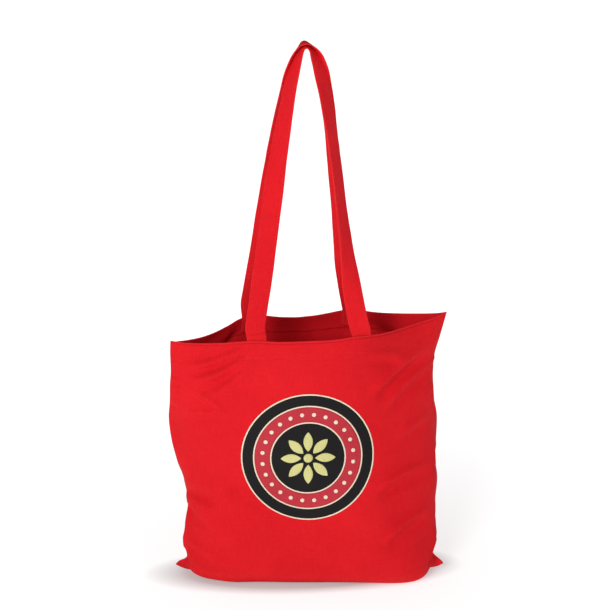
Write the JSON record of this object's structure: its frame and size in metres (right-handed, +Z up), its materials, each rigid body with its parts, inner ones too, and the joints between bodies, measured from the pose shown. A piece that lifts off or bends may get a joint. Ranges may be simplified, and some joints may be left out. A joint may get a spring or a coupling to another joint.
{
  "type": "foldable tote bag",
  "caption": "Open cotton shopper standing on its base, with webbing handles sewn inside the hem and a round print on the front.",
  "frame": {"origin": "on the floor, under the middle of the bag's flat base", "axes": "+Z up, -Y towards the printed front, +X to the right seen from the front, along the mouth"},
  "size_m": [0.355, 0.1522, 0.7056],
  "materials": {
    "red_cotton": "dyed plain-weave cotton canvas, matt, with fine slubs",
    "red_webbing": "folded and topstitched strap of the same dyed cotton",
    "red_thread": "spun polyester sewing thread, dyed to match",
    "black_ink": "screen-print ink, matt, the weave showing through",
    "cream_ink": "screen-print ink, matt, the weave showing through",
    "rose_ink": "screen-print ink, matt, the weave showing through",
    "green_ink": "screen-print ink, matt, the weave showing through",
    "white_satin": "woven satin label tape"
  },
  "bodies": {
    "bag": {"front_panel": "red_cotton", "back_panel": "red_cotton", "front_hem": "red_cotton", "back_hem": "red_cotton", "left_side_seam": "red_cotton", "right_side_seam": "red_cotton", "bottom_seam": "red_cotton", "front_hem_stitching": "red_thread", "back_hem_stitching": "red_thread", "front_handle_left_end": "red_webbing", "front_handle_right_end": "red_webbing", "back_handle_left_end": "red_webbing", "back_handle_right_end": "red_webbing", "front_left_box_stitching": "red_thread", "front_right_box_stitching": "red_thread", "back_left_box_stitching": "red_thread", "back_right_box_stitching": "red_thread", "print_black": "black_ink", "print_cream": "cream_ink", "print_rose": "rose_ink", "print_green": "green_ink"},
    "front_handle": {"front_handle": "red_webbing"},
    "back_handle": {"back_handle": "red_webbing"},
    "label": {"care_label": "white_satin"}
  },
  "joints": [
    {"name": "front_handle_swing", "type": "hinge", "parent": "bag", "child": "front_handle", "pos_m": [0, -0.05, 0.348], "axis": [1, 0, 0], "range_deg": [0, 150]},
    {"name": "back_handle_swing", "type": "hinge", "parent": "bag", "child": "back_handle", "pos_m": [0, 0.05, 0.348], "axis": [-1, 0, 0], "range_deg": [0, 150]},
    {"name": "care_label_flap", "type": "hinge", "parent": "bag", "child": "label", "pos_m": [-0.1583, 0, 0.256], "axis": [0, 0, 1], "range_deg": [-30, 30]}
  ]
}
